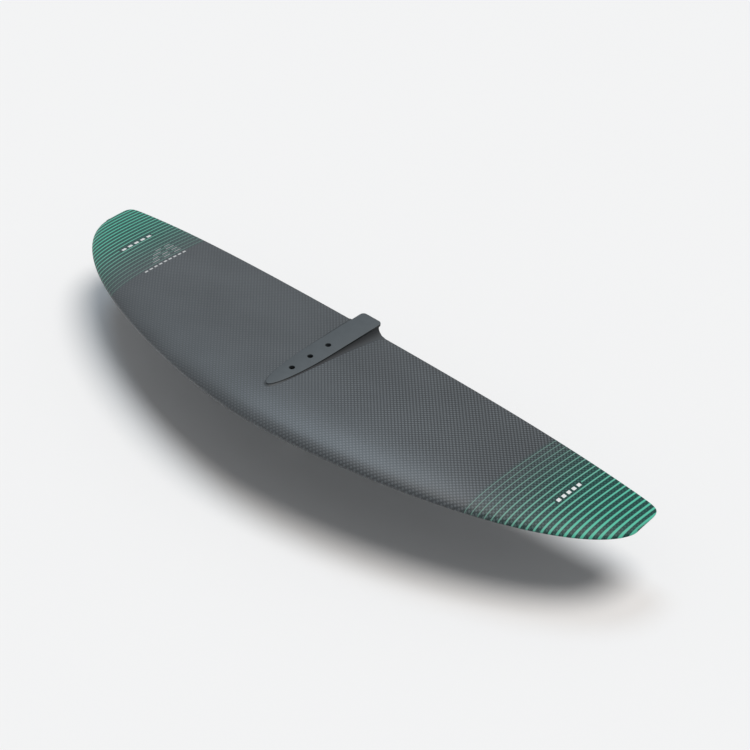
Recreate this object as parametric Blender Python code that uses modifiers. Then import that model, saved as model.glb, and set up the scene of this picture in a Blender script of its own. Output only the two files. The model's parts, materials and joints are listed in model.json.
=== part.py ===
"""Front wing of a hydrofoil board: a moulded carbon wing with a raised flat seat for the fuselage.

Frame: metres, +X along the span, +Y towards the trailing edge, +Z up.
The origin is the middle of the flat seat face. Left is -X and right is +X.
"""
from math import cos, pi, sin, sqrt

import bmesh
import bpy

# Plan shape
HALF_SPAN = 0.4386
NOSE_Y = -0.1374           # leading edge on the centreline
TAIL_Y = 0.0786            # trailing edge on the centreline
TIP_Y = 0.0399             # where both edges would meet at the very tip
TAIL_SWEEP = 0.0045        # how much further aft the trailing edge is near the tip
NOSE_POWERS = (1.65, 1.68)  # fullness of the leading edge curve, then of its turn into the tip
NOSE_BLEND = 0.03          # share of the half span over which the two halves of that curve blend
TIP_SOFTNESS = 0.004       # rounds the leading edge off where it reaches the tip
TAIL_POWERS = (86.0, 6.7)   # the same as for the nose; nearly straight, with a rounded corner

# Heights of the two edges below the seat: on the centreline, then square and fourth power of span
NOSE_HEIGHTS = (-0.0181, -0.0262, 0.0036)
TAIL_HEIGHTS = (-0.0117, -0.0141, -0.0119)

# Section: bulge above and below the chord line, as a share of the chord, at the root and at the tip
UPPER_BULGE = (0.064, 0.056)
LOWER_BULGE = (0.035, 0.024)
EDGE_THICKNESS = 0.0016    # blunt trailing edge

# Laminate layers, counted inwards from the surface
SKIN = 0.0010
CAP = 0.0014
GAP = 0.0004               # glue line between pieces
UNDER_SKIN = SKIN + GAP
UNDER_CAP = UNDER_SKIN + CAP + GAP

# Places along the chord, as a share of it, and ends along the span
SKIN_FRONT, SKIN_BACK = 0.020, 0.900
CAP_FRONT, CAP_BACK = 0.270, 0.470
CORE_FRONT, CORE_BACK = 0.050, 0.860
WEB_FRONT = 0.362
WEB_THICKNESS = 0.0025
SKIN_END = 0.425
CAP_END = 0.390
CORE_END = 0.400
BLOCK_HALF_WIDTH = 0.020
END_FACE = 0.0003          # how far the flat end of a tip stops short of the full half span

# Fuselage seat
SEAT_LENGTH = 0.177
SEAT_WIDTH = 0.0316
SEAT_NOSE = 0.092          # length of the front part, half an ellipse in plan
SEAT_CORNER = 0.0055
SEAT_GAP = 0.0003
LIP_SHARE = 0.2            # upright rim of the seat, as a share of its height over the wing
LIP_MIN = 0.001
SKIRT_SHARE = 1.6          # width of the hollow skirt around the seat, as a share of what is left
SKIRT_MIN = 0.001
FEATHER = 0.0003           # thickness of the skirt's outer edge

# Bolt holes
HOLE_PITCH = 0.030
HOLE_MIDDLE_Y = -0.018
BORE_RADIUS = 0.0035
SLEEVE_RADIUS = 0.0052
FLANGE_RADIUS = 0.0078
FLANGE_RIM = 0.0010
SINK_RADIUS = 0.0066
SINK_DEPTH = 0.0031
TURNED_STEPS = 24

CARBON = ("carbon", (0.095, 0.108, 0.118, 1.0), 0.38, 0.0)
SEAT_GREY = ("moulded_grey", (0.14, 0.145, 0.155, 1.0), 0.55, 0.0)
SPAR_BLACK = ("spar_carbon", (0.02, 0.02, 0.022, 1.0), 0.5, 0.0)
FOAM = ("foam", (0.72, 0.62, 0.42, 1.0), 0.9, 0.0)
BLOCK_RESIN = ("block_resin", (0.30, 0.27, 0.12, 1.0), 0.6, 0.0)
ANODISED = ("black_anodised", (0.02, 0.02, 0.022, 1.0), 0.4, 0.6)


def clear_scene():
    for thing in list(bpy.data.objects):
        bpy.data.objects.remove(thing, do_unlink=True)


def new_collection(name):
    group = bpy.data.collections.new(name)
    bpy.context.scene.collection.children.link(group)
    return group


def material(finish):
    name, colour, roughness, metallic = finish
    found = bpy.data.materials.get(name)
    if found:
        return found
    made = bpy.data.materials.new(name)
    made.use_nodes = True
    shader = made.node_tree.nodes["Principled BSDF"]
    shader.inputs["Base Color"].default_value = colour
    shader.inputs["Roughness"].default_value = roughness
    shader.inputs["Metallic"].default_value = metallic
    return made


# ---- the wing's surface

def rounded(u, powers, softness=0.0):
    """Falls from 1 on the centreline to 0 at the tip, with a round end where softness is above 0."""
    left = max(1.0 - u ** powers[0], 0.0)
    if softness == 0.0:
        return left ** (1.0 / powers[1])
    return sqrt(left) * ((left + softness) / (1.0 + softness)) ** (1.0 / powers[1] - 0.5)


def height_of(u, terms):
    return terms[0] + terms[1] * u ** 2 + terms[2] * u ** 4


def edges(x):
    """The leading and the trailing edge at x, each as (y, z)."""
    u = min(abs(x) / HALF_SPAN, 1.0)
    blended = min(sqrt(u ** 2 + NOSE_BLEND ** 2 * (1.0 - u)), 1.0)
    nose_y = TIP_Y + (NOSE_Y - TIP_Y) * rounded(blended, NOSE_POWERS, TIP_SOFTNESS)
    tail_y = TIP_Y + (TAIL_Y + TAIL_SWEEP * u ** 2 - TIP_Y) * rounded(u, TAIL_POWERS)
    return (nose_y, height_of(u, NOSE_HEIGHTS)), (tail_y, height_of(u, TAIL_HEIGHTS))


def chord(x):
    nose, tail = edges(x)
    return tail[0] - nose[0]


def bulge(t):
    """Thickness law of the classic four-digit wing section, 1 where it is thickest."""
    return 2.969 * sqrt(t) - 1.260 * t - 3.516 * t ** 2 + 2.843 * t ** 3 - 1.036 * t ** 4


def surface(x, t, side, inset=0.0):
    """Point of the section at x and chord share t; side is 1 above, -1 below; inset goes inwards."""
    nose, tail = edges(x)
    length = tail[0] - nose[0]
    root, tip = UPPER_BULGE if side > 0 else LOWER_BULGE
    share = root + (tip - root) * abs(x) / HALF_SPAN
    rise = share * length * bulge(t) + 0.5 * EDGE_THICKNESS * t
    line = nose[1] + (tail[1] - nose[1]) * t
    return (x, nose[0] + length * t, line + side * (rise - inset))


def inner(x, t, side, depth):
    """The same point at a depth measured square to the surface."""
    step = 0.002
    before = surface(x, t - step, side)
    after = surface(x, t + step, side)
    slope = (after[2] - before[2]) / (after[1] - before[1])
    return surface(x, t, side, depth * sqrt(1.0 + slope ** 2))


def top_height(x, y):
    """Height of the wing's upper surface at a place in plan."""
    nose = edges(x)[0]
    return surface(x, (y - nose[0]) / chord(x), 1)[2]


def spread(start, end, count, power=1.0):
    """Evenly spaced values, or crowded towards the start where power is above 1."""
    return [start + (end - start) * (i / count) ** power for i in range(count + 1)]


def span_stations(start, end, count):
    """Values that crowd towards the end, where the plan shape turns."""
    return [end - (end - start) * ((count - i) / count) ** 1.5 for i in range(count + 1)]


# ---- making objects

def finish_object(name, mesh, group, finish, smooth_angle=40):
    mesh.materials.append(material(finish))
    mesh.shade_smooth()
    mesh.set_sharp_from_angle(angle=smooth_angle * pi / 180)
    made = bpy.data.objects.new(name, mesh)
    group.objects.link(made)
    return made


def loft(name, sections, group, finish):
    """A closed solid through closed sections that have the same number of points."""
    shape = bmesh.new()
    rings = [[shape.verts.new(point) for point in section] for section in sections]
    count = len(rings[0])
    for first, second in zip(rings, rings[1:]):
        for i in range(count):
            j = (i + 1) % count
            shape.faces.new((first[i], first[j], second[j], second[i]))
    shape.faces.new(rings[0])
    shape.faces.new(rings[-1])
    bmesh.ops.recalc_face_normals(shape, faces=shape.faces)
    mesh = bpy.data.meshes.new(name)
    shape.to_mesh(mesh)
    shape.free()
    return finish_object(name, mesh, group, finish)


def section(x, shares, depth_above, depth_below=None):
    """A closed section at x: forwards along the top, then aft along the bottom."""
    depth_below = depth_below or depth_above
    above = [inner(x, t, 1, depth_above(t)) for t in reversed(shares)]
    below = [inner(x, t, -1, depth_below(t)) for t in shares]
    return above + below


def turned(name, profile, group, finish):
    """A turned solid; its profile is a closed loop of (radius, height), running down its outer side."""
    mesh = bpy.data.meshes.new(name)
    count = len(profile)
    points = [(radius, 0.0, height) for radius, height in profile]
    mesh.from_pydata(points, [(i, (i + 1) % count) for i in range(count)], [])
    made = finish_object(name, mesh, group, finish)
    screw = made.modifiers.new("turn", "SCREW")
    screw.angle = 2 * pi
    screw.steps = TURNED_STEPS
    screw.render_steps = TURNED_STEPS
    screw.use_merge_vertices = True
    screw.merge_threshold = 0.00001
    return made


def drill(piece, cutters):
    for cutter in cutters:
        cut = piece.modifiers.new(cutter.name, "BOOLEAN")
        cut.operation = "DIFFERENCE"
        cut.solver = "EXACT"
        cut.object = cutter


# ---- outer pieces

def make_skin(name, side, group):
    """Half of the outer surface, mirrored, with its thickness inwards."""
    shares = spread(SKIN_FRONT, SKIN_BACK, 11, 1.5)
    stations = span_stations(0.0, SKIN_END, 13)
    shape = bmesh.new()
    rows = [[shape.verts.new(surface(x, t, side)) for t in shares] for x in stations]
    for first, second in zip(rows, rows[1:]):
        for i in range(len(shares) - 1):
            corners = (first[i], second[i], second[i + 1], first[i + 1])
            shape.faces.new(corners if side > 0 else corners[::-1])
    mesh = bpy.data.meshes.new(name)
    shape.to_mesh(mesh)
    shape.free()
    skin = finish_object(name, mesh, group, CARBON)
    mirror = skin.modifiers.new("mirror", "MIRROR")
    mirror.merge_threshold = 0.00001
    shell = skin.modifiers.new("thickness", "SOLIDIFY")
    shell.thickness = SKIN
    shell.offset = -1.0
    return skin


def make_leading_edge(name, hand, group):
    """Solid nose of the section, in front of the skins."""
    sections = []
    for x in span_stations(0.5 * GAP, SKIN_END, 12):
        back = SKIN_FRONT - GAP / chord(x)
        shares = spread(0.0, back, 4, 2.0)
        above = [surface(hand * x, t, 1) for t in reversed(shares)]
        below = [surface(hand * x, t, -1) for t in shares[1:]]
        sections.append(above + below)
    return loft(name, sections, group, CARBON)


def make_trailing_edge(name, hand, group):
    """Solid thin tail of the section, behind the skins."""
    sections = []
    for x in span_stations(0.5 * GAP, SKIN_END, 12):
        front = SKIN_BACK + GAP / chord(x)
        shares = spread(front, 1.0, 2)
        above = [surface(hand * x, t, 1) for t in reversed(shares)]
        below = [surface(hand * x, t, -1) for t in shares]
        sections.append(above + below)
    return loft(name, sections, group, CARBON)


def make_tip(name, hand, group):
    """Solid wing tip with its rounded rear corner."""
    shares = spread(0.0, 1.0, 12, 2.0)
    sections = []
    for x in span_stations(SKIN_END + GAP, HALF_SPAN - END_FACE, 7):
        above = [surface(hand * x, t, 1) for t in reversed(shares)]
        below = [surface(hand * x, t, -1) for t in shares[1:]]
        sections.append(above + below)
    return loft(name, sections, group, CARBON)


# ---- inner pieces

def core_depth(t):
    """Cores lie under the skin, and deeper where a spar cap runs over them."""
    return UNDER_CAP if CAP_FRONT - 0.008 < t < CAP_BACK + 0.008 else UNDER_SKIN


def core_shares(start, end):
    """Chord shares for a core, with both sides of the steps beside the spar caps."""
    steps = [CAP_FRONT - 0.010, CAP_FRONT - 0.006, CAP_BACK + 0.006, CAP_BACK + 0.010]
    shares = spread(start, end, 7, 1.3) + [t for t in steps if start + 0.01 < t < end - 0.01]
    return sorted(shares)


def make_spar_cap(name, side, group, cutters):
    """Band of straight fibres along the span, just under one skin."""
    half = span_stations(0.0, CAP_END, 10)
    stations = [-x for x in reversed(half)] + half[1:]
    shares = spread(CAP_FRONT, CAP_BACK, 4)
    sections = []
    for x in stations:
        outside = [inner(x, t, side, UNDER_SKIN) for t in shares]
        inside = [inner(x, t, side, UNDER_SKIN + CAP) for t in reversed(shares)]
        sections.append(outside + inside)
    cap = loft(name, sections, group, SPAR_BLACK)
    drill(cap, cutters)
    return cap


def make_shear_web(name, hand, group):
    """Upright wall between the two spar caps."""
    sections = []
    for x in span_stations(BLOCK_HALF_WIDTH + GAP, CAP_END, 8):
        shares = [WEB_FRONT, WEB_FRONT + WEB_THICKNESS / chord(x)]
        sections.append(section(hand * x, shares, lambda t: UNDER_CAP))
    return loft(name, sections, group, SPAR_BLACK)


def make_core(name, hand, start, end, group):
    """Foam in front of or behind the shear web; start and end give its chord shares at x."""
    sections = []
    base = core_shares(start(0.0), end(0.0))
    for x in span_stations(BLOCK_HALF_WIDTH + GAP, CORE_END, 9):
        shares = [start(x)] + base[1:-1] + [end(x)]
        sections.append(section(hand * x, shares, core_depth))
    return loft(name, sections, group, FOAM)


def web_face(x, aft):
    """Chord share of a core's face against the shear web."""
    offset = WEB_THICKNESS + GAP if aft else -GAP
    return WEB_FRONT + offset / chord(x)


def make_block(group, cutters):
    """Dense block on the centreline that the bolts clamp."""
    shares = core_shares(CORE_FRONT, CORE_BACK)
    stations = (-BLOCK_HALF_WIDTH, 0.0, BLOCK_HALF_WIDTH)
    block = loft("mounting_block", [section(x, shares, core_depth) for x in stations], group, BLOCK_RESIN)
    drill(block, cutters)
    return block


# ---- fuselage seat

def seat_half_width(y):
    """Half width of the flat seat: round nose, long taper, straight flanks, round rear corners."""
    from_nose = y + SEAT_LENGTH / 2
    into_corner = y - (SEAT_LENGTH / 2 - SEAT_CORNER)
    half = SEAT_WIDTH / 2
    if from_nose < SEAT_NOSE:
        return half * rounded(1.0 - from_nose / SEAT_NOSE, (2.0, 2.0))
    if into_corner > 0.0:
        return half - SEAT_CORNER + sqrt(max(SEAT_CORNER ** 2 - into_corner ** 2, 0.0))
    return half


def seat_section(y):
    """Closed section at y: the flat top, the upright rim, the hollow skirt and the base on the wing."""
    half = seat_half_width(y)
    proud = -top_height(half, min(y, TAIL_Y - GAP))
    lip = LIP_MIN + LIP_SHARE * proud
    skirt = SKIRT_MIN + SKIRT_SHARE * (proud - lip)
    if y > TAIL_Y:
        left = (SEAT_LENGTH / 2 - y) / (SEAT_LENGTH / 2 - TAIL_Y)
        underside = -lip - (proud - SEAT_GAP - lip) * left ** 2 - FEATHER
        skirt = SKIRT_MIN * 0.5

    def base(x):
        return underside if y > TAIL_Y else top_height(x, y) + SEAT_GAP

    flank = [(half, 0.0), (half, -lip)]
    for share in (0.2, 0.45, 0.7, 1.0):
        x = half + skirt * share
        foot = base(x) + FEATHER
        flank.append((x, foot + (-lip - foot) * (1.0 - share) ** 2))
    bottom = [(x, base(x)) for x in (half + skirt, half + 0.5 * skirt, half, 0.5 * half)]
    right = flank + bottom
    left_side = [(-x, z) for x, z in reversed(right)]
    return [(x, y, z) for x, z in right + [(0.0, base(0.0))] + left_side]


def make_seat(group, cutters):
    """Raised seat that the fuselage is bolted to, with a skirt that runs out into the wing."""
    front = -SEAT_LENGTH / 2
    nose = spread(front + END_FACE, front + SEAT_NOSE, 12, 1.7)
    flank = spread(nose[-1], TAIL_Y - GAP, 3)[1:]
    corner_start = SEAT_LENGTH / 2 - SEAT_CORNER
    corner = [corner_start + SEAT_CORNER * sin(0.5 * pi * i / 5) for i in range(5)]
    end = [SEAT_LENGTH / 2 - END_FACE]
    seat = loft("fuselage_seat", [seat_section(y) for y in nose + flank + corner + end], group, SEAT_GREY)
    drill(seat, cutters)
    return seat


# ---- bolt holes

def hole_heights(y):
    """Top of the sleeve, under the skin, and bottom of its flange, flush with the lower surface."""
    nose = edges(0.0)[0][0]

    def at(place, side):
        return surface(0.0, (place - nose) / chord(0.0), side)[2]

    top = min(at(y - SLEEVE_RADIUS, 1), at(y + SLEEVE_RADIUS, 1)) - UNDER_SKIN
    bottom = max(at(y - FLANGE_RADIUS, -1), at(y + FLANGE_RADIUS, -1))
    return top, bottom


def make_sleeve(name, y, group):
    """Sleeve with a countersunk flange for a bolt from below."""
    top, bottom = hole_heights(y)
    cone = FLANGE_RADIUS - SLEEVE_RADIUS
    profile = [
        (BORE_RADIUS, top),
        (SLEEVE_RADIUS, top),
        (SLEEVE_RADIUS, bottom + FLANGE_RIM + cone),
        (FLANGE_RADIUS, bottom + FLANGE_RIM),
        (FLANGE_RADIUS, bottom),
        (SINK_RADIUS, bottom),
        (BORE_RADIUS, bottom + SINK_DEPTH),
    ]
    sleeve = turned(name, profile, group, ANODISED)
    sleeve.location.y = y
    return sleeve


def make_cutter(name, y, group):
    """Stepped drill for one hole: bore, sleeve clearance, then flange clearance."""
    top, bottom = hole_heights(y)
    wide = FLANGE_RADIUS + GAP
    middle = SLEEVE_RADIUS + GAP
    shoulder = bottom + FLANGE_RIM + wide - middle + GAP
    profile = [
        (0.0, 0.01),
        (BORE_RADIUS, 0.01),
        (BORE_RADIUS, top + SEAT_GAP),
        (middle, top + SEAT_GAP),
        (middle, shoulder),
        (wide, shoulder),
        (wide, bottom - 0.01),
        (0.0, bottom - 0.01),
    ]
    cutter = turned(name, profile, group, ANODISED)
    cutter.location.y = y
    cutter.hide_render = True
    cutter.display_type = "WIRE"
    return cutter


def build():
    clear_scene()
    wing = new_collection("hydrofoil_front_wing")
    tools = new_collection("cutters")

    holes = {
        "front": HOLE_MIDDLE_Y - HOLE_PITCH,
        "middle": HOLE_MIDDLE_Y,
        "rear": HOLE_MIDDLE_Y + HOLE_PITCH,
    }
    cutters = [make_cutter("drill_" + place, y, tools) for place, y in holes.items()]
    for place, y in holes.items():
        make_sleeve("bolt_sleeve_" + place, y, wing)

    for name, side in (("upper", 1), ("lower", -1)):
        drill(make_skin(name + "_skin", side, wing), cutters)
        make_spar_cap("spar_cap_" + name, side, wing, cutters[:1])
    make_seat(wing, cutters)
    make_block(wing, cutters)

    for name, hand in (("left", -1), ("right", 1)):
        make_leading_edge("leading_edge_" + name, hand, wing)
        make_trailing_edge("trailing_edge_" + name, hand, wing)
        make_tip("tip_" + name, hand, wing)
        make_shear_web("shear_web_" + name, hand, wing)
        make_core("nose_core_" + name, hand, lambda x: CORE_FRONT, lambda x: web_face(x, False), wing)
        make_core("tail_core_" + name, hand, lambda x: web_face(x, True), lambda x: CORE_BACK, wing)


build()
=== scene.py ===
"""Looks of a hydrofoil front wing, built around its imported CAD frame."""
import json
from math import cos, pi, radians, sin, sqrt

import bmesh
import bpy
import numpy as np
from mathutils import Matrix, Vector

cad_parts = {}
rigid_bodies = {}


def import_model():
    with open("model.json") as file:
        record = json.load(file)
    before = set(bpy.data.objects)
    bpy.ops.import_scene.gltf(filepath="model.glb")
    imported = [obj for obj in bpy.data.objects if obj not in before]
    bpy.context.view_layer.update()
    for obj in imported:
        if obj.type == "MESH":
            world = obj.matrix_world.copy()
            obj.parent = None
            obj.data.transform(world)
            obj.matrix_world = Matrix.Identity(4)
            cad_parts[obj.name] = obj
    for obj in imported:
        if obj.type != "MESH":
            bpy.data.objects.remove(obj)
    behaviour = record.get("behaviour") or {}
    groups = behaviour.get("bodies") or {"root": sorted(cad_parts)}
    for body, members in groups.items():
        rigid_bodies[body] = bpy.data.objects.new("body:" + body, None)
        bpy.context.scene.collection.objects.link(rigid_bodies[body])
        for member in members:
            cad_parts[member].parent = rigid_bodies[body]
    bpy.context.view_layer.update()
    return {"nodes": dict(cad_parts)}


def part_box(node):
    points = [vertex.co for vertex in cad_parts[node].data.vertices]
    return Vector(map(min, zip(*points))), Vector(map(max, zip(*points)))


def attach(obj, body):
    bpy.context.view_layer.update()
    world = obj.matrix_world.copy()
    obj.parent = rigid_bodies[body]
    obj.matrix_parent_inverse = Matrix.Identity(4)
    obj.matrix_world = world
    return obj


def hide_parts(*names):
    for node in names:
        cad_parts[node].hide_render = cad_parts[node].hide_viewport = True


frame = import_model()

# Wing shape, as in the CAD: metres, +X along the span, +Y towards the trailing edge, +Z up
HALF_SPAN = 0.4386
NOSE_Y = -0.1374
TAIL_Y = 0.0786
TIP_Y = 0.0399
TAIL_SWEEP = 0.0045
NOSE_POWERS = (1.65, 1.68)
NOSE_BLEND = 0.03
TIP_SOFTNESS = 0.004
TAIL_POWERS = (86.0, 6.7)
NOSE_HEIGHTS = (-0.0181, -0.0262, 0.0036)
TAIL_HEIGHTS = (-0.0117, -0.0141, -0.0119)
UPPER_BULGE = (0.064, 0.056)
LOWER_BULGE = (0.035, 0.024)
EDGE_THICKNESS = 0.0016
SKIN = 0.0010
SKIN_FRONT, SKIN_BACK = 0.020, 0.900
SKIN_END = 0.425
EDGE_ROUND = 0.0012        # length over which the trailing edge rounds off
EDGE_ROUND_SHARE = 0.05    # and the most of the chord that it may take
TIP_ROUND = 0.0015         # the same at the tip
TIP_CORNER_START = 0.4336  # where the rear corner of the tip starts to turn
GUARD = 0.0001             # width of the narrow cells beside a seam, which keep the shading even
SPAN_STEPS = 130           # rows of faces from the centreline to the end of a skin

# Fuselage seat
SEAT_LENGTH = 0.177
SEAT_WIDTH = 0.0316
SEAT_NOSE = 0.092
SEAT_CORNER = 0.0055
LIP_SHARE = 0.2
LIP_MIN = 0.001
SKIRT_SHARE = 1.6
SKIRT_MIN = 0.001
SEAT_BEVEL = 0.0004
BEVEL_ROWS = 4             # rows of faces round the bevelled edge of the seat
SEAT_ROOT = 0.0012         # how deep the seat is set into the wing
SKIRT_SINK = 0.00003       # how far the skirt's outer edge dips into the wing, to hide it
SKIRT_ROWS = (0.06, 0.14, 0.24, 0.36, 0.5, 0.64, 0.78, 0.9, 1.0)  # shares of the skirt's width

# Bolt holes
HOLES = {"front": -0.048, "middle": -0.018, "rear": 0.012}
BORE_RADIUS = 0.0035
BORE_CHAMFER = 0.0003
SLEEVE_RADIUS = 0.0052
FLANGE_RADIUS = 0.0078
FLANGE_RIM = 0.0010
SINK_RADIUS = 0.0066
SINK_DEPTH = 0.0031
FLANGE_BEVEL = 0.0002
FLANGE_GAP = 0.00015
CUTTER_RISE = 0.001        # how far a hole's cutter stands out above the seat
CUTTER_DROP = 0.004        # and how far below the sleeve's flange
CUTTER_SHOULDER = 0.002    # height of the cutter's wide part above the bottom of the flange
ROUND_SEGMENTS = 72        # flat stretches round a turned shape

# Tip graphics; "into" runs from 0 at the innermost stripe to 1 at the outermost
STRIPE_PITCH = 0.00696
STRIPE_OUTER = 0.4382      # centre of the outermost stripe
STRIPE_COUNT = 22
STRIPE_HALF = 0.06         # half width of the innermost stripe, as a share of the pitch
STRIPE_GAIN = 0.12         # how much wider the outermost one is
FRONT_GAIN = 0.08          # and how much more at its front end
FRONT_REACH = (0.055, -0.045)  # places along Y between which a stripe's front end begins
STRIPE_SOFT = 0.035        # softness of a stripe's edge, as a share of the pitch
TIP_PAINT = 0.4362         # beyond this the tip is painted all over
PAINT_REACH = (0.0, 0.85)  # "into" where the stripes turn from pale to full mint
COVER_START = 0.55         # how well the innermost stripe covers the carbon
COVER_REACH = (0.0, 0.5)   # "into" where that grows to full cover
TINT_REACH = (-0.25, 0.6)  # "into" where the teal between the stripes grows
TINT_AT_FRONT = 0.7        # share of that teal which is left at the front
UPWARD = (-0.02, 0.03)     # Z of the normal where the graphics end below the edges
MARK_SOFT = 0.0002
DASH_SHARE = 0.6           # a dash's share of its pitch
MARKS = (                  # rows of plain dashes, each in a box in plan
    {"middle": (0.3558, 0.024), "size": (0.0042, 0.040), "dashes": 5, "strength": 0.90},
    {"middle": (-0.3525, 0.020), "size": (0.0042, 0.048), "dashes": 5, "strength": 0.80},
    {"middle": (-0.2864, 0.011), "size": (0.0026, 0.068), "dashes": 9, "strength": 0.60},
    {"middle": (-0.2958, 0.022), "size": (0.0016, 0.046), "dashes": 3, "strength": 0.32},
    {"middle": (-0.3023, 0.0245), "size": (0.0016, 0.041), "dashes": 3, "strength": 0.32},
    {"middle": (-0.3092, 0.0275), "size": (0.0016, 0.035), "dashes": 2, "strength": 0.32},
    {"middle": (-0.3157, 0.032), "size": (0.0016, 0.024), "dashes": 2, "strength": 0.28},
)
CLEARED = (                # boxes without stripes, around the two boldest rows
    {"middle": (0.3558, 0.024), "size": (0.0070, 0.046)},
    {"middle": (-0.3525, 0.020), "size": (0.0070, 0.054)},
)

# Finishes, in linear colour
TOW = 0.00263              # width of one fibre bundle in the weave
WEAVE_DEPTH = 0.00006
CROWN_SHARE = 0.55         # how much of a bundle's height is its round back, against its crossings
WEAVE_PAINTED_SHEEN = (0.32, 0.92)  # painted reflection: bundles lying one way drawn lighter than those across, weakly on the left and strongly on the right
WEAVE_SPREAD = (-0.15, 0.20)   # span positions between which the contrast grows
WEAVE_AT_TIPS = 0.5            # share of the contrast that is left under the tip graphics
WEAVE_FADE = (0.30, 0.40)      # distances from the centreline between which it falls to that
WEAVE_AT_NOSE = 0.65           # share of the contrast that is left at the wing's nose
WEAVE_REACH = (-0.10, -0.03)   # and the places along Y between which it is full again
SPAN_PAINTED_LIGHT = (1.12, 0.90)      # painted light: the carbon drawn lighter at the left tip and darker at the right
CARBON_ROUGHNESS = (0.36, 0.44)
COAT = 0.2
COAT_ROUGHNESS = 0.3
SPECULAR = 0.42
TIP_MATT = (0.35, 0.75)        # how much of the gloss the painted left and right tips lose
MATT_SIDES = (-0.3, 0.3)       # span positions that those two amounts hold for
MATT_REACH = (0.22, 0.36)      # distances from the centreline between which the gloss is lost
SPECK = 2400.0                 # fine specks to the metre, which vary the roughness
SEAT_SHADE_WIDTHS = (0.002, 0.016)   # how far the painted shade beside the seat reaches, at its nose and tail
SEAT_SHADE_FADE = (-0.055, -0.085)   # places along Y between which it fades out at the seat's nose
CARBON = (0.074, 0.083, 0.090, 1.0)
TEAL = (0.022, 0.080, 0.070, 1.0)
MINT = (0.095, 0.48, 0.34, 1.0)
PALE_MINT = (0.19, 0.36, 0.30, 1.0)
WHITE = (0.80, 0.82, 0.82, 1.0)
# painted shade: this dark stands for the seat's shadow beside it and the shade under its rim
SEAT_SHADE_PAINT = (0.018, 0.021, 0.024, 1.0)
SEAT_GREY = (0.064, 0.076, 0.084, 1.0)
FOAM = (0.78, 0.72, 0.56, 1.0)

# Studio
FLOOR_Z = -0.128
FLOOR_HALF = 20.0
FLOOR_SHADE = 0.85
CAMERA_AZIMUTH = 43.2
CAMERA_ELEVATION = 37.59
CAMERA_ROLL = 0.35
CAMERA_LENS = 95.6
CAMERA_DISTANCE = 2.3264
CAMERA_OFFSET = (0.0757, -0.0222)
LIGHTS = {                 # spread is the angle in degrees that the light fills
    "key": {
        "direction": (0.19, 0.20, 1.0),
        "spread": 36.0,
        "strength": 2.2,
        "colour": (1.03, 0.99, 0.955),
    },
    "sheen": {
        "direction": (-0.46, 0.26, 1.0),
        "spread": 22.0,
        "strength": 0.55,
        "colour": (0.80, 0.98, 1.14),
    },
}
WORLD_COLOUR = (0.96, 0.98, 1.0, 1.0)
WORLD_STRENGTH = 0.25


# ---- the wing's surface

def rounded(u, powers, softness=0.0):
    """Falls from 1 on the centreline to 0 at the tip, with a round end where softness is above 0."""
    left = np.maximum(1.0 - u ** powers[0], 0.0)
    if softness == 0.0:
        return left ** (1.0 / powers[1])
    return np.sqrt(left) * ((left + softness) / (1.0 + softness)) ** (1.0 / powers[1] - 0.5)


def height_of(u, terms):
    return terms[0] + terms[1] * u ** 2 + terms[2] * u ** 4


def edges(x):
    """Plan and height of the leading and trailing edges: nose_y, nose_z, tail_y, tail_z."""
    u = np.minimum(np.abs(x) / HALF_SPAN, 1.0)
    blended = np.minimum(np.sqrt(u ** 2 + NOSE_BLEND ** 2 * (1.0 - u)), 1.0)
    nose_y = TIP_Y + (NOSE_Y - TIP_Y) * rounded(blended, NOSE_POWERS, TIP_SOFTNESS)
    tail_y = TIP_Y + (TAIL_Y + TAIL_SWEEP * u ** 2 - TIP_Y) * rounded(u, TAIL_POWERS)
    return nose_y, height_of(u, NOSE_HEIGHTS), tail_y, height_of(u, TAIL_HEIGHTS)


def bulge(t):
    """Thickness law of the classic four-digit wing section, 1 where it is thickest."""
    return 2.969 * np.sqrt(t) - 1.260 * t - 3.516 * t ** 2 + 2.843 * t ** 3 - 1.036 * t ** 4


def round_off(distance, length):
    """1 away from an edge, falling along a quarter circle to 0 at the edge."""
    into = np.clip(1.0 - distance / length, 0.0, 1.0)
    return np.sqrt(1.0 - into ** 2)


def edge_round(chord):
    return np.minimum(EDGE_ROUND, EDGE_ROUND_SHARE * chord)


def surface(x, t, side):
    """Points of the wing at span x and chord share t; side is 1 above and -1 below."""
    nose_y, nose_z, tail_y, tail_z = edges(x)
    chord = tail_y - nose_y
    root, tip = UPPER_BULGE if side > 0 else LOWER_BULGE
    share = root + (tip - root) * np.abs(x) / HALF_SPAN
    rise = share * chord * bulge(t) + 0.5 * EDGE_THICKNESS * t
    rise = rise * round_off((1.0 - t) * chord, edge_round(chord))
    rise = rise * round_off(HALF_SPAN - np.abs(x), TIP_ROUND)
    line = nose_z + (tail_z - nose_z) * t
    return np.stack([x + 0.0 * t, nose_y + chord * t, line + side * rise], axis=-1)


def normals(x, t, side):
    """Outward unit normals of the same points."""
    step_x, step_t = 0.0005, 0.001
    root = np.sqrt(t)
    low, high = np.maximum(root - step_t, 0.0), np.minimum(root + step_t, 1.0)
    along = surface(x + step_x, t, side) - surface(x - step_x, t, side)
    aft = surface(x, high ** 2, side) - surface(x, low ** 2, side)
    normal = side * np.cross(along, aft)
    return normal / np.linalg.norm(normal, axis=-1, keepdims=True)


def top_height(x, y):
    """Height of the wing's upper surface at a place in plan."""
    nose_y, _, tail_y, _ = edges(x)
    last = 1.0 - EDGE_ROUND / (tail_y - nose_y)
    t = np.clip((y - nose_y) / (tail_y - nose_y), 0.0, last)
    return surface(x, t, 1)[..., 2]


def steps(start, end, count, power=1.0):
    """Evenly spaced values, or crowded towards the start where power is above 1."""
    return start + (end - start) * np.linspace(0.0, 1.0, count + 1) ** power


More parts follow.
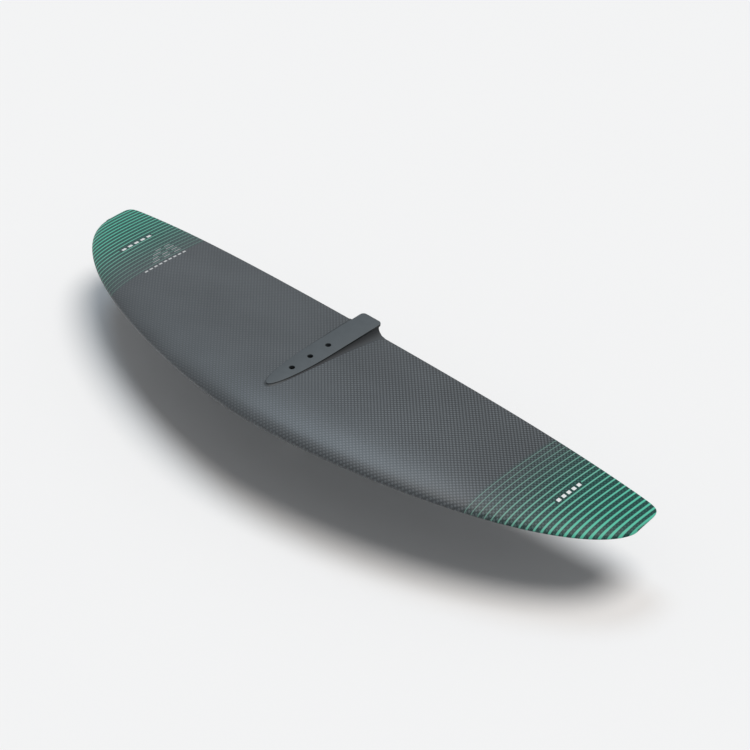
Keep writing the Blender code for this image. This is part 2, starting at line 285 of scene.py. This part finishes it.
def guarded(values, first=True, last=True):
    """Adds a value just inside each end that lies on a seam."""
    inner = list(values)
    if first:
        inner.insert(1, inner[0] + GUARD)
    if last:
        inner.insert(-1, inner[-1] - GUARD)
    return np.array(inner)


# ---- stations shared by the pieces, so that their edges meet exactly

def nose_shares():
    return guarded(steps(0.0, sqrt(SKIN_FRONT), 14) ** 2, first=False)


def skin_shares():
    return guarded(steps(SKIN_FRONT, SKIN_BACK, 46, 1.5))


def tail_shares(x):
    """Chord shares from the end of the skin round the trailing edge, one row for each x."""
    nose_y, _, tail_y, _ = edges(x)
    chord = tail_y - nose_y
    turn = (edge_round(chord) / chord)[:, None]
    flat = steps(0.0, 1.0, 5)[None, :]
    flat = SKIN_BACK + (1.0 - turn - SKIN_BACK) * np.insert(flat, 1, GUARD, axis=1)
    arc = 1.0 - turn * (1.0 - np.sin(steps(0.0, pi / 2, 6)[None, 1:]))
    return np.concatenate([flat, arc], axis=1)


def span_stations():
    """From the centreline to the end of the skins."""
    return guarded(SKIN_END * (1.0 - steps(1.0, 0.0, SPAN_STEPS) ** 1.2))


def tip_stations():
    """From the end of the skins round the corner of the tip."""
    straight = guarded(steps(SKIN_END, TIP_CORNER_START, 8), last=False)
    turn = np.linspace(0.9, 0.05, 18)
    corner = HALF_SPAN * (1.0 - turn ** TAIL_POWERS[1]) ** (1.0 / TAIL_POWERS[0])
    return np.concatenate([straight, corner])


# ---- making objects

def new_object(name, points, faces, materials, face_slots=None, sharp=35.0):
    shape = bmesh.new()
    verts = [shape.verts.new(point) for point in points]
    for index, corners in enumerate(faces):
        face = shape.faces.new([verts[i] for i in corners])
        face.material_index = face_slots[index] if face_slots else 0
    bmesh.ops.recalc_face_normals(shape, faces=shape.faces)
    mesh = bpy.data.meshes.new(name)
    shape.to_mesh(mesh)
    shape.free()
    for finish in materials:
        mesh.materials.append(finish)
    mesh.shade_smooth()
    mesh.set_sharp_from_angle(angle=radians(sharp))
    made = bpy.data.objects.new(name, mesh)
    bpy.context.scene.collection.objects.link(made)
    return made


def strip(first, second, closed):
    """Quads between two rows of point numbers."""
    count = len(first)
    last = count if closed else count - 1
    return [(first[i], first[(i + 1) % count], second[(i + 1) % count], second[i]) for i in range(last)]


def lofted(name, rings, materials):
    """A closed solid through closed rings of points."""
    rows, count = rings.shape[:2]
    numbers = np.arange(rows * count).reshape(rows, count).tolist()
    faces = []
    for first, second in zip(numbers, numbers[1:]):
        faces += strip(first, second, True)
    faces += [numbers[0], numbers[-1]]
    return new_object(name, rings.reshape(-1, 3).tolist(), faces, materials)


def thick_sheet(name, outer, inner, materials):
    """A closed shell between two sheets of points that match."""
    rows, count = outer.shape[:2]
    top = np.arange(rows * count).reshape(rows, count)
    under = top + rows * count
    faces = []
    for sheet in (top.tolist(), under.tolist()):
        for first, second in zip(sheet, sheet[1:]):
            faces += strip(first, second, False)
    rims = ((top[0], under[0]), (top[-1], under[-1]), (top[:, 0], under[:, 0]), (top[:, -1], under[:, -1]))
    for edge, mate in rims:
        faces += strip(edge.tolist(), mate.tolist(), False)
    points = np.concatenate([outer.reshape(-1, 3), inner.reshape(-1, 3)])
    return new_object(name, points.tolist(), faces, materials)


def turned(name, profile, materials):
    """A solid of revolution about Z from a closed loop of (radius, height)."""
    angles = np.linspace(0.0, 2 * pi, ROUND_SEGMENTS, endpoint=False)
    radii = np.array([point[0] for point in profile])
    heights = np.array([point[1] for point in profile])
    rings = np.stack([
        np.outer(np.cos(angles), radii),
        np.outer(np.sin(angles), radii),
        np.outer(np.ones(ROUND_SEGMENTS), heights),
    ], axis=-1)
    numbers = np.arange(ROUND_SEGMENTS * len(profile)).reshape(ROUND_SEGMENTS, -1)
    faces = []
    for first, second in zip(numbers.tolist(), np.roll(numbers, -1, axis=0).tolist()):
        faces += strip(first, second, True)
    return new_object(name, rings.reshape(-1, 3).tolist(), faces, materials)


def cut(piece, cutters):
    """Cuts the pieces' shapes away for good."""
    for cutter in cutters:
        modifier = piece.modifiers.new(cutter.name, "BOOLEAN")
        modifier.operation = "DIFFERENCE"
        modifier.solver = "EXACT"
        modifier.object = cutter
    bpy.context.view_layer.update()
    final = bpy.data.meshes.new_from_object(piece.evaluated_get(bpy.context.evaluated_depsgraph_get()))
    piece.modifiers.clear()
    piece.data = final
    final.set_sharp_from_angle(angle=radians(35.0))


# ---- wing pieces

def ring_of(x, shares):
    """Section at x: forwards over the top from its last share, round the nose and aft below."""
    above = surface(x, shares[::-1], 1)
    below = surface(x, shares[1:], -1)
    return np.concatenate([above, below])


def make_skin(name, side, finish):
    """The upper or lower skin from tip to tip, as a shell with its thickness inwards."""
    half = span_stations()
    x = np.concatenate([-half[::-1], half[1:]])[:, None]
    t = skin_shares()[None, :]
    outer = surface(x, t, side)
    return thick_sheet(name, outer, outer - SKIN * normals(x, t, side), [finish])


def make_leading_edge(name, hand, finish):
    """Solid nose of one half of the wing; hand is 1 on the right and -1 on the left."""
    rings = [ring_of(hand * x, nose_shares()) for x in span_stations()]
    return lofted(name, np.array(rings), [finish])


def make_trailing_edge(name, hand, finish):
    """Solid tail of one half, with its blunt edge rounded off."""
    stations = span_stations()
    rings = []
    for x, shares in zip(stations, tail_shares(stations)):
        above = surface(hand * x, shares, 1)
        below = surface(hand * x, shares[-2::-1], -1)
        rings.append(np.concatenate([above, below]))
    return lofted(name, np.array(rings), [finish])


def make_tip(name, hand, finish):
    """Solid tip of one half, round its rear corner to the very end."""
    stations = tip_stations()
    rings = []
    for x, tail in zip(stations, tail_shares(stations)):
        shares = np.concatenate([nose_shares(), skin_shares()[1:], tail[1:]])
        rings.append(ring_of(hand * x, shares)[:-1])
    return lofted(name, np.array(rings), [finish])


# ---- fuselage seat

def seat_outline():
    """Half of the seat's outline from nose to tail, its outward directions, and the number of the
    last point that stands on the wing."""
    half = SEAT_WIDTH / 2
    from_nose = steps(0.0, SEAT_NOSE, 60, 2.5)
    taper_x = half * rounded(1.0 - from_nose / SEAT_NOSE, (2.0, 2.0))
    taper = np.stack([taper_x, from_nose - SEAT_LENGTH / 2], axis=-1)
    flank_y = steps(SEAT_NOSE - SEAT_LENGTH / 2, TAIL_Y, 14)[1:]
    flank = np.stack([np.full(len(flank_y), half), flank_y], axis=-1)
    angle = steps(0.0, pi / 2, 14)
    corner_y = SEAT_LENGTH / 2 - SEAT_CORNER + SEAT_CORNER * np.sin(angle)
    corner = np.stack([half - SEAT_CORNER * (1.0 - np.cos(angle)), corner_y], axis=-1)
    tail_x = steps(half - SEAT_CORNER, 0.0, 5)[1:]
    tail = np.stack([tail_x, np.full(len(tail_x), SEAT_LENGTH / 2)], axis=-1)
    line = np.concatenate([taper, flank, corner, tail])
    along = np.gradient(line, axis=0)
    out = np.stack([along[:, 1], -along[:, 0]], axis=-1)
    out = out / np.linalg.norm(out, axis=1, keepdims=True)
    out[0] = (0.0, -1.0)
    out[line[:, 0] >= half - 1e-9] = (1.0, 0.0)
    out[-1] = (0.0, 1.0)
    return line, out, len(taper) + len(flank) - 1


def seat_rings():
    """Rings from the top face down over the rim and the skirt; each follows half of the outline.
    Behind the wing's trailing edge they run under the seat's overhang instead."""
    line, out, last_on_wing = seat_outline()
    on_wing = np.arange(len(line)) <= last_on_wing
    proud = -top_height(line[:, 0], np.minimum(line[:, 1], TAIL_Y - EDGE_ROUND))
    lip = LIP_MIN + LIP_SHARE * proud
    skirt = SKIRT_MIN + SKIRT_SHARE * (proud - lip)
    foot_z = float(top_height(0.0, TAIL_Y))
    rings = []
    for angle in steps(0.0, pi / 2, BEVEL_ROWS):
        place = line - out * SEAT_BEVEL * (1.0 - sin(angle))
        rings.append(np.column_stack([place, np.full(len(line), -SEAT_BEVEL * (1.0 - cos(angle)))]))
    rings.append(np.column_stack([line, -lip]))
    for share in SKIRT_ROWS:
        place = line + out * (skirt * share)[:, None]
        base = top_height(place[:, 0], place[:, 1]) - SKIRT_SINK
        skirt_z = base + (-lip - base) * (1.0 - share) ** 2
        under_y = line[:, 1] + (TAIL_Y - line[:, 1]) * share
        under_z = -lip + (foot_z + lip) * share ** 2
        x = np.where(on_wing, place[:, 0], line[:, 0])
        y = np.where(on_wing, np.minimum(place[:, 1], TAIL_Y), under_y)
        rings.append(np.column_stack([x, y, np.where(on_wing, skirt_z, under_z)]))
    return np.array(rings), last_on_wing


def without_spare(points, faces):
    """Drops the points that no face uses."""
    used = sorted({n for face in faces for n in face})
    renumber = {n: i for i, n in enumerate(used)}
    return points[used].tolist(), [tuple(renumber[n] for n in face) for face in faces]


def make_seat(matt, painted_shade, cutters):
    """Both halves of the seat: a matt top with a bevelled edge, and painted shade on all that is below,
    the seat's wall and the skirt round it.
    """
    rings, last_on_wing = seat_rings()
    rows, count = rings.shape[:2]
    base = rings[-1, :last_on_wing + 1] - (0.0, 0.0, SEAT_ROOT)
    right = np.concatenate([rings.reshape(-1, 3), base])
    left = right * (-1.0, 1.0, 1.0)
    numbers = np.arange(rows * count).reshape(rows, count).tolist()
    base_row = (rows * count + np.arange(len(base))).tolist()
    centred = set(np.flatnonzero(np.abs(right[:, 0]) < 1e-9).tolist())
    faces = []
    slots = []

    def mirrored(corners):
        return [n if n in centred else n + len(right) for n in corners]

    def add(corners, slot):
        faces.append(tuple(dict.fromkeys(corners)))
        slots.append(slot)

    bands = list(zip(numbers, numbers[1:])) + [(numbers[-1][:len(base)], base_row)]
    for index, (first, second) in enumerate(bands):
        slot = 0 if index < BEVEL_ROWS else 1
        for quad in strip(first, second, False):
            add(quad, slot)
            add(mirrored(quad), slot)
    for row, slot in ((numbers[0], 0), (base_row, 1)):
        for pair in zip(row, row[1:]):
            add(list(pair) + mirrored(reversed(pair)), slot)
    foot = [base_row[-1]] + numbers[-1][last_on_wing:]
    add(foot + mirrored(reversed(foot)), 1)
    points, faces = without_spare(np.concatenate([right, left]), faces)
    seat = new_object("seat_and_skirt", points, faces, [matt, painted_shade], slots, sharp=40.0)
    cut(seat, cutters)
    return seat


# ---- bolt holes

def hole_heights(place):
    """Top of the sleeve and bottom of its flange, as the CAD node has them."""
    low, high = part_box("bolt_sleeve_" + place)
    return high.z, low.z


def make_sleeve(place, finish):
    """Sleeve with a countersunk flange, finer than the CAD one and with its edges broken."""
    top, bottom = hole_heights(place)
    cone = FLANGE_RADIUS - SLEEVE_RADIUS
    profile = [
        (BORE_RADIUS, top - FLANGE_BEVEL),
        (BORE_RADIUS + FLANGE_BEVEL, top),
        (SLEEVE_RADIUS - FLANGE_BEVEL, top),
        (SLEEVE_RADIUS, top - FLANGE_BEVEL),
        (SLEEVE_RADIUS, bottom + FLANGE_RIM + cone),
        (FLANGE_RADIUS, bottom + FLANGE_RIM),
        (FLANGE_RADIUS, bottom + FLANGE_BEVEL),
        (FLANGE_RADIUS - FLANGE_BEVEL, bottom),
        (SINK_RADIUS + FLANGE_BEVEL, bottom),
        (SINK_RADIUS, bottom + FLANGE_BEVEL),
        (BORE_RADIUS, bottom + SINK_DEPTH),
    ]
    sleeve = turned("sleeve_" + place, profile, [finish])
    sleeve.data.transform(Matrix.Translation((0.0, HOLES[place], 0.0)))
    return sleeve


def make_cutter(place):
    """Shape of one hole: chamfered mouth, bore, and room for the flange below."""
    bottom = hole_heights(place)[1]
    shoulder = bottom + CUTTER_SHOULDER
    profile = [
        (BORE_RADIUS + BORE_CHAMFER, CUTTER_RISE),
        (BORE_RADIUS + BORE_CHAMFER, 0.0),
        (BORE_RADIUS, -BORE_CHAMFER),
        (BORE_RADIUS, shoulder),
        (FLANGE_RADIUS + FLANGE_GAP, shoulder),
        (FLANGE_RADIUS + FLANGE_GAP, bottom - CUTTER_DROP),
    ]
    angles = np.linspace(0.0, 2 * pi, ROUND_SEGMENTS, endpoint=False)
    circle = np.stack([np.cos(angles), np.sin(angles), 0.0 * angles], axis=-1)
    rings = [circle * radius + (0.0, HOLES[place], height) for radius, height in profile]
    return lofted("cutter_" + place, np.array(rings), [])


# ---- materials

class Graph:
    """A procedural material under construction."""

    def __init__(self, name):
        self.material = bpy.data.materials.new(name)
        self.material.use_nodes = True
        self.tree = self.material.node_tree
        self.shader = self.tree.nodes["Principled BSDF"]
        place = self.tree.nodes.new("ShaderNodeTexCoord")
        self.place = place.outputs["Object"]
        self.normal = place.outputs["Normal"]

    def put(self, value, socket):
        if isinstance(value, bpy.types.NodeSocket):
            self.tree.links.new(value, socket)
        else:
            socket.default_value = value

    def math(self, operation, a, b=0.0, c=0.0, clamp=False):
        node = self.tree.nodes.new("ShaderNodeMath")
        node.operation = operation
        node.use_clamp = clamp
        for value, socket in zip((a, b, c), node.inputs):
            self.put(value, socket)
        return node.outputs[0]

    def ramp(self, value, start, end, low=0.0, high=1.0):
        """Runs smoothly from low to high as value goes from start to end."""
        node = self.tree.nodes.new("ShaderNodeMapRange")
        node.interpolation_type = "SMOOTHSTEP"
        for name, number in (("Value", value), ("From Min", start), ("From Max", end),
                             ("To Min", low), ("To Max", high)):
            self.put(number, node.inputs[name])
        return node.outputs[0]

    def blend(self, share, first, second):
        node = self.tree.nodes.new("ShaderNodeMix")
        node.data_type = "RGBA"
        self.put(share, node.inputs[0])
        self.put(first, node.inputs[6])
        self.put(second, node.inputs[7])
        return node.outputs[2]

    def dim(self, colour, share):
        """The colour times a number that may be above 1."""
        node = self.tree.nodes.new("ShaderNodeVectorMath")
        node.operation = "SCALE"
        self.put(colour if isinstance(colour, bpy.types.NodeSocket) else colour[:3], node.inputs[0])
        self.put(share, node.inputs["Scale"])
        return node.outputs[0]

    def split(self, vector):
        node = self.tree.nodes.new("ShaderNodeSeparateXYZ")
        self.tree.links.new(vector, node.inputs[0])
        return node.outputs

    def stretched(self, scale):
        """The place, scaled differently along X, Y and Z."""
        node = self.tree.nodes.new("ShaderNodeVectorMath")
        node.operation = "MULTIPLY"
        self.tree.links.new(self.place, node.inputs[0])
        node.inputs[1].default_value = scale
        return node.outputs[0]

    def noise(self, scale, detail=2.0, roughness=0.5):
        """Noise with so many features to the metre along X, Y and Z."""
        node = self.tree.nodes.new("ShaderNodeTexNoise")
        node.inputs["Scale"].default_value = 1.0
        node.inputs["Detail"].default_value = detail
        node.inputs["Roughness"].default_value = roughness
        self.tree.links.new(self.stretched(scale), node.inputs["Vector"])
        return node.outputs[0]

    def bump(self, height, distance):
        node = self.tree.nodes.new("ShaderNodeBump")
        node.inputs["Strength"].default_value = 1.0
        node.inputs["Distance"].default_value = distance
        self.tree.links.new(height, node.inputs["Height"])
        self.tree.links.new(node.outputs[0], self.shader.inputs["Normal"])

    def set(self, **values):
        for name, value in values.items():
            self.put(value, self.shader.inputs[name.replace("_", " ")])


def grey(value):
    return (value, value, value, 1.0)


def scaled(colour, factor):
    return tuple(channel * factor for channel in colour[:3]) + (1.0,)


def weave(graph, x, y):
    """Plain weave: which bundle lies on top, and how high its surface is."""
    turn_x = graph.math("MULTIPLY", x, pi / TOW)
    turn_y = graph.math("MULTIPLY", y, pi / TOW)
    column = graph.math("FLOOR", graph.math("DIVIDE", x, TOW))
    row = graph.math("FLOOR", graph.math("DIVIDE", y, TOW))
    lengthwise = graph.math("FLOORED_MODULO", graph.math("ADD", column, row), 2.0)
    crown_x = graph.math("ABSOLUTE", graph.math("SINE", turn_x))
    crown_y = graph.math("ABSOLUTE", graph.math("SINE", turn_y))
    across = graph.math("ADD", graph.math("MULTIPLY", lengthwise, crown_x),
                        graph.math("MULTIPLY", graph.math("SUBTRACT", 1.0, lengthwise), crown_y))
    both = graph.math("MULTIPLY", crown_x, crown_y)
    height = graph.math("ADD", graph.math("MULTIPLY", across, CROWN_SHARE),
                        graph.math("MULTIPLY", both, 1.0 - CROWN_SHARE))
    return lengthwise, height


def stripes(graph, span, y):
    """Mask of the stripes, how far each place lies into the tip, and how near its front."""
    inner = STRIPE_OUTER - (STRIPE_COUNT - 0.5) * STRIPE_PITCH
    into = graph.math("DIVIDE", graph.math("SUBTRACT", span, inner), STRIPE_OUTER - inner, clamp=True)
    number = graph.math("DIVIDE", graph.math("SUBTRACT", STRIPE_OUTER, span), STRIPE_PITCH)
    away = graph.math("PINGPONG", number, 0.5)
    front = graph.ramp(y, *FRONT_REACH)
    half = graph.math("MULTIPLY_ADD", into, STRIPE_GAIN, STRIPE_HALF)
    half = graph.math("MULTIPLY_ADD", graph.math("MULTIPLY", into, front), FRONT_GAIN, half)
    edge = graph.math("SUBTRACT", away, half)
    mask = graph.ramp(edge, STRIPE_SOFT, -STRIPE_SOFT)
    mask = graph.math("MULTIPLY", mask, graph.math("GREATER_THAN", span, inner))
    mask = graph.math("MAXIMUM", mask, graph.math("GREATER_THAN", span, TIP_PAINT))
    return mask, into, front


def dashes(graph, x, y, middle, size, count):
    """A row of even dashes along Y, in a box in plan; one dash is a plain bar."""
    masks = []
    for value, centre, length in ((x, middle[0], size[0]), (y, middle[1], size[1])):
        away = graph.math("ABSOLUTE", graph.math("SUBTRACT", value, centre))
        masks.append(graph.ramp(away, length / 2 + MARK_SOFT, length / 2 - MARK_SOFT))
    mask = graph.math("MULTIPLY", *masks)
    if count > 1:
        pitch = size[1] / (count - 1 + DASH_SHARE)
        start = middle[1] - size[1] / 2 + pitch * DASH_SHARE / 2
        turn = graph.math("PINGPONG", graph.math("DIVIDE", graph.math("SUBTRACT", y, start), pitch), 0.5)
        soft = MARK_SOFT / pitch
        mask = graph.math("MULTIPLY", mask, graph.ramp(turn, DASH_SHARE / 2 + soft, DASH_SHARE / 2 - soft))
    return mask


def carbon(name, decorated):
    """Woven carbon under a satin clear coat, with painted light in its colour: painted reflection off the
    bundles, painted shade where they dip and painted light across the span; the upper side carries the tip
    graphics.
    """
    graph = Graph(name)
    x, y = graph.split(graph.place)[:2]
    lengthwise, height = weave(graph, x, y)
    cloud = graph.noise((9.0, 14.0, 9.0), 3.0)
    speck = graph.noise((SPECK, SPECK, SPECK), 1.0)
    span = graph.math("ABSOLUTE", x)
    # strength of the painted reflection: growing from left to right, less at the nose and under the tip
    # graphics
    contrast = graph.ramp(x, *WEAVE_SPREAD, *WEAVE_PAINTED_SHEEN)
    contrast = graph.math("MULTIPLY", contrast, graph.ramp(span, *WEAVE_FADE, 1.0, WEAVE_AT_TIPS))
    contrast = graph.math("MULTIPLY", contrast, graph.ramp(y, *WEAVE_REACH, WEAVE_AT_NOSE, 1.0))
    # painted reflection: the bundles lying one way are drawn lighter than those lying across, as light
    # glances off them
    shade = graph.math("MULTIPLY_ADD", graph.math("SUBTRACT", 0.5, lengthwise), contrast, 1.0)
    # painted light: the carbon is drawn lighter towards the left tip and darker towards the right
    shade = graph.math("MULTIPLY", shade, graph.ramp(x, -HALF_SPAN, HALF_SPAN, *SPAN_PAINTED_LIGHT))
    shade = graph.math("MULTIPLY", shade, graph.ramp(cloud, 0.3, 0.7, 0.93, 1.07))
    # painted shade: the carbon drawn darker where the bundles dip at their crossings
    shade = graph.math("MULTIPLY", shade, graph.ramp(height, 0.0, 0.55, 0.6, 1.05))
    colour, coat, specular = graph.dim(CARBON, shade), COAT, SPECULAR
    if decorated:
        colour, gloss = tip_graphics(graph, x, y, colour, shade)
        coat = graph.math("MULTIPLY", gloss, COAT)
        specular = graph.math("MULTIPLY", gloss, SPECULAR)
    graph.set(Base_Color=colour, Roughness=graph.ramp(speck, 0.2, 0.8, *CARBON_ROUGHNESS))
    graph.set(Coat_Weight=coat, Coat_Roughness=COAT_ROUGHNESS, Coat_IOR=1.5, Specular_IOR_Level=specular)
    graph.bump(height, WEAVE_DEPTH)
    return graph.material


def tip_graphics(graph, x, y, colour, shade):
    """Colour with mint stripes and plain pale marks over both tips, and how much gloss is left."""
    span = graph.math("ABSOLUTE", x)
    up = graph.ramp(graph.split(graph.normal)[2], *UPWARD)
    mask, into, front = stripes(graph, span, y)
    less = graph.ramp(front, 0.0, 1.0, 1.0, TINT_AT_FRONT)
    tint = graph.math("MULTIPLY", graph.ramp(into, *TINT_REACH), less)
    tint = graph.math("MULTIPLY", tint, graph.math("GREATER_THAN", into, 0.0))
    colour = graph.blend(graph.math("MULTIPLY", tint, up), colour, graph.dim(TEAL, shade))
    paint = graph.blend(graph.ramp(into, *PAINT_REACH), PALE_MINT, MINT)
    cover = graph.math("MULTIPLY", mask, graph.ramp(into, *COVER_REACH, COVER_START, 1.0))
    plain = None
    for mark in MARKS:
        drawn = dashes(graph, x, y, mark["middle"], mark["size"], mark["dashes"])
        drawn = graph.math("MULTIPLY", drawn, mark["strength"])
        plain = drawn if plain is None else graph.math("MAXIMUM", plain, drawn)
    for box in CLEARED:
        gap = dashes(graph, x, y, box["middle"], box["size"], 1)
        cover = graph.math("MULTIPLY", cover, graph.math("SUBTRACT", 1.0, gap))
    colour = graph.blend(graph.math("MULTIPLY", cover, up), colour, paint)
    colour = graph.blend(graph.math("MULTIPLY", plain, up), colour, WHITE)
    matt = graph.ramp(span, *MATT_REACH)
    matt = graph.math("MULTIPLY", matt, graph.ramp(x, *MATT_SIDES, *TIP_MATT))
    matt = graph.math("MULTIPLY", matt, up)
    return colour, graph.math("SUBTRACT", 1.0, matt)


def painted_seat_shade_finish():
    """Painted shade beside the seat, dark at its wall and blending out into the carbon; its band is widest
    at the tail.
    """
    graph = Graph("painted_seat_shade")
    x, y = graph.split(graph.place)[:2]
    away = graph.math("SUBTRACT", graph.math("ABSOLUTE", x), SEAT_WIDTH / 2)
    width = graph.ramp(y, -SEAT_LENGTH / 2, TAIL_Y, *SEAT_SHADE_WIDTHS)
    out = graph.ramp(graph.math("DIVIDE", away, width), 0.0, 1.0)
    out = graph.math("MAXIMUM", out, graph.ramp(y, *SEAT_SHADE_FADE))
    speck = graph.noise((SPECK, SPECK, SPECK), 1.0)
    # painted shade next to the seat's wall, fading out into slightly darkened carbon
    graph.set(Base_Color=graph.blend(out, SEAT_SHADE_PAINT, scaled(CARBON, 0.9)))
    graph.set(Roughness=graph.ramp(speck, 0.2, 0.8, 0.5, 0.6), Specular_IOR_Level=0.3)
    return graph.material


def seat_finish():
    """Smooth filled laminate, matt, with the faint mottle of a rubbed-down surface."""
    graph = Graph("seat_matt")
    mottle = graph.noise((60.0, 60.0, 60.0), 4.0, 0.6)
    grain = graph.noise((1800.0, 1800.0, 1800.0), 2.0)
    colour = graph.blend(graph.ramp(mottle, 0.3, 0.7), scaled(SEAT_GREY, 0.95), scaled(SEAT_GREY, 1.05))
    graph.set(Base_Color=colour, Roughness=graph.ramp(grain, 0.2, 0.8, 0.52, 0.62))
    graph.bump(grain, 0.00002)
    return graph.material


def anodised():
    """Black anodised aluminium with turning marks."""
    graph = Graph("black_anodised")
    rings = graph.noise((300.0, 300.0, 9000.0), 2.0)
    graph.set(Base_Color=graph.blend(rings, grey(0.004), grey(0.010)), Metallic=0.2)
    graph.set(Roughness=graph.ramp(rings, 0.2, 0.8, 0.34, 0.5))
    graph.bump(rings, 0.00001)
    return graph.material


def spar_carbon():
    """Unidirectional carbon, its fibres running along the span."""
    graph = Graph("spar_carbon")
    fibres = graph.noise((12.0, 2500.0, 2500.0), 3.0, 0.6)
    graph.set(Base_Color=graph.blend(fibres, grey(0.015), grey(0.06)), Roughness=0.38)
    graph.bump(fibres, 0.00004)
    return graph.material


def foam():
    """Closed-cell structural foam, with its cells cut open."""
    graph = Graph("core_foam")
    cells = graph.tree.nodes.new("ShaderNodeTexVoronoi")
    cells.inputs["Scale"].default_value = 1100.0
    graph.tree.links.new(graph.place, cells.inputs["Vector"])
    depth = graph.ramp(cells.outputs["Distance"], 0.1, 0.6)
    graph.set(Base_Color=graph.blend(depth, scaled(FOAM, 0.8), FOAM), Roughness=0.9)
    graph.bump(depth, 0.0003)
    return graph.material


def block_laminate():
    """Thick laminated block, its plies stacked upwards."""
    graph = Graph("block_laminate")
    plies = graph.noise((40.0, 40.0, 3000.0), 2.0)
    graph.set(Base_Color=graph.blend(plies, grey(0.03), grey(0.075)), Roughness=0.55)
    graph.bump(plies, 0.00003)
    return graph.material


def floor_finish():
    """Plain matt paint without any shine."""
    graph = Graph("floor_matt")
    mottle = graph.noise((1.5, 1.5, 1.5), 3.0)
    graph.set(Base_Color=graph.blend(mottle, grey(FLOOR_SHADE * 0.99), grey(FLOOR_SHADE)), Roughness=1.0)
    graph.set(Specular_IOR_Level=0.0)
    return graph.material


# ---- studio

def make_camera():
    """Looks down on the seat's middle hole from the front right."""
    turn, rise, roll = radians(CAMERA_AZIMUTH), radians(CAMERA_ELEVATION), radians(CAMERA_ROLL)
    back = Vector((sin(turn) * cos(rise), -cos(turn) * cos(rise), sin(rise)))
    level = Vector((cos(turn), sin(turn), 0.0))
    upright = back.cross(level)
    right = cos(roll) * level + sin(roll) * upright
    up = back.cross(right)
    target = Vector((0.0, HOLES["middle"], 0.0))
    data = bpy.data.cameras.new("camera")
    data.lens = CAMERA_LENS
    data.sensor_width = 36.0
    camera = bpy.data.objects.new("camera", data)
    axes = Matrix((right, up, back)).transposed().to_4x4()
    place = target + back * CAMERA_DISTANCE + right * CAMERA_OFFSET[0] + up * CAMERA_OFFSET[1]
    camera.matrix_world = Matrix.Translation(place) @ axes
    bpy.context.scene.collection.objects.link(camera)
    bpy.context.scene.camera = camera


def make_light(name, direction, spread, strength, colour):
    """Soft light from far off; its softness is the spread, and its place has no effect."""
    data = bpy.data.lights.new(name, "SUN")
    data.angle = radians(spread)
    data.energy = strength
    data.color = colour
    light = bpy.data.objects.new(name, data)
    light.rotation_euler = Vector(direction).to_track_quat("Z", "Y").to_euler()
    light.location = Vector(direction).normalized() * 3.0
    bpy.context.scene.collection.objects.link(light)


def make_world():
    """Even pale light from all round."""
    world = bpy.data.worlds.new("studio")
    world.use_nodes = True
    background = world.node_tree.nodes["Background"]
    background.inputs["Color"].default_value = WORLD_COLOUR
    background.inputs["Strength"].default_value = WORLD_STRENGTH
    bpy.context.scene.world = world


def make_floor():
    """Wide pale floor that runs past the edges of the picture."""
    shape = bmesh.new()
    bmesh.ops.create_grid(shape, x_segments=8, y_segments=8, size=FLOOR_HALF)
    bmesh.ops.translate(shape, verts=shape.verts, vec=(0.0, 0.0, FLOOR_Z))
    mesh = bpy.data.meshes.new("floor")
    shape.to_mesh(mesh)
    shape.free()
    mesh.materials.append(floor_finish())
    floor = bpy.data.objects.new("floor", mesh)
    bpy.context.scene.collection.objects.link(floor)


# ---- assembly

def stand_for(piece, node):
    """Puts a piece in place of a CAD node."""
    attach(piece, "root")
    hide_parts(node)


def finish_inner_pieces():
    """Gives the CAD pieces inside the wing, which keep their own meshes, a finish each."""
    spar, core, block = spar_carbon(), foam(), block_laminate()
    finishes = {
        "spar_cap": spar,
        "shear_web": spar,
        "nose_core": core,
        "tail_core": core,
        "mounting_block": block,
    }
    for name, node in frame["nodes"].items():
        for start, finish in finishes.items():
            if name.startswith(start):
                node.data.materials.clear()
                node.data.materials.append(finish)


def clear_startup():
    for unwanted in list(bpy.data.objects):
        if unwanted.name in ("Cube", "Light", "Camera"):
            bpy.data.objects.remove(unwanted)


def build():
    clear_startup()
    decorated = carbon("carbon_with_graphics", True)
    plain = carbon("carbon_plain", False)
    cutters = [make_cutter(place) for place in HOLES]
    for name, side, finish in (("upper", 1, decorated), ("lower", -1, plain)):
        shell = make_skin(name + "_shell", side, finish)
        cut(shell, cutters)
        stand_for(shell, name + "_skin")
    for hand, side in ((-1, "left"), (1, "right")):
        nose = make_leading_edge("nose_strip_" + side, hand, decorated)
        stand_for(nose, "leading_edge_" + side)
        tail = make_trailing_edge("tail_strip_" + side, hand, decorated)
        stand_for(tail, "trailing_edge_" + side)
        stand_for(make_tip("tip_cap_" + side, hand, decorated), "tip_" + side)
    seat = make_seat(seat_finish(), painted_seat_shade_finish(), cutters)
    stand_for(seat, "fuselage_seat")
    black = anodised()
    for place in HOLES:
        stand_for(make_sleeve(place, black), "bolt_sleeve_" + place)
    for cutter in cutters:
        bpy.data.objects.remove(cutter)
    finish_inner_pieces()


build()
make_camera()
make_floor()
make_world()
for name, light in LIGHTS.items():
    make_light(name, **light)
bpy.context.scene.view_settings.view_transform = "Standard"
